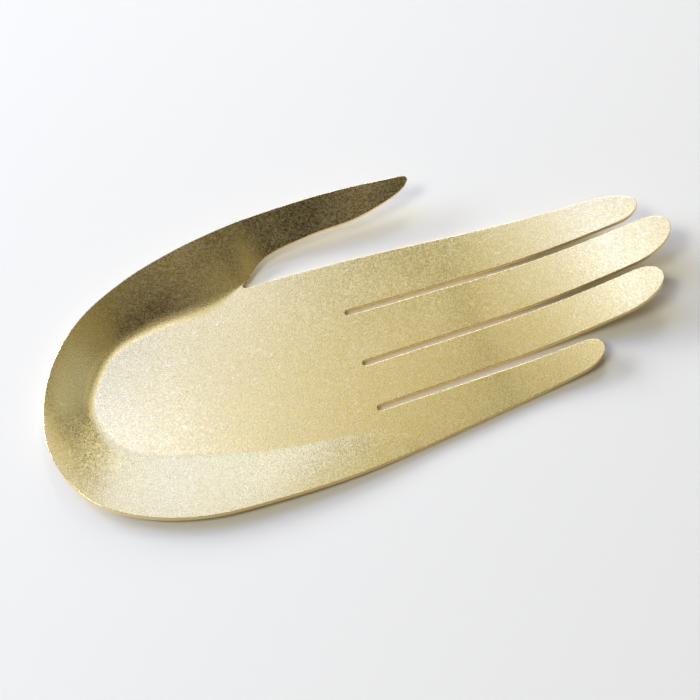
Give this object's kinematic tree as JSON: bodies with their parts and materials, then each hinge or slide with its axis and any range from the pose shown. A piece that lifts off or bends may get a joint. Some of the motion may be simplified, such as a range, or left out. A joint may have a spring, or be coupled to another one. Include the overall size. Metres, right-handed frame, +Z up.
{
  "type": "hand-shaped tray",
  "caption": "Shallow tray in the shape of a left hand, palm up, cut and pressed from one piece of satin brass sheet.",
  "frame": {"origin": "on the table plane, under the middle of the tray's box", "axes": "+X along the fingers, +Y to the thumb side, +Z up out of the palm"},
  "size_m": [0.1998, 0.0946, 0.0111],
  "materials": {
    "hand_tray": "satin, tumbled, with fine random scratches"
  },
  "bodies": {
    "root": {"hand_tray": "hand_tray"}
  },
  "joints": []
}
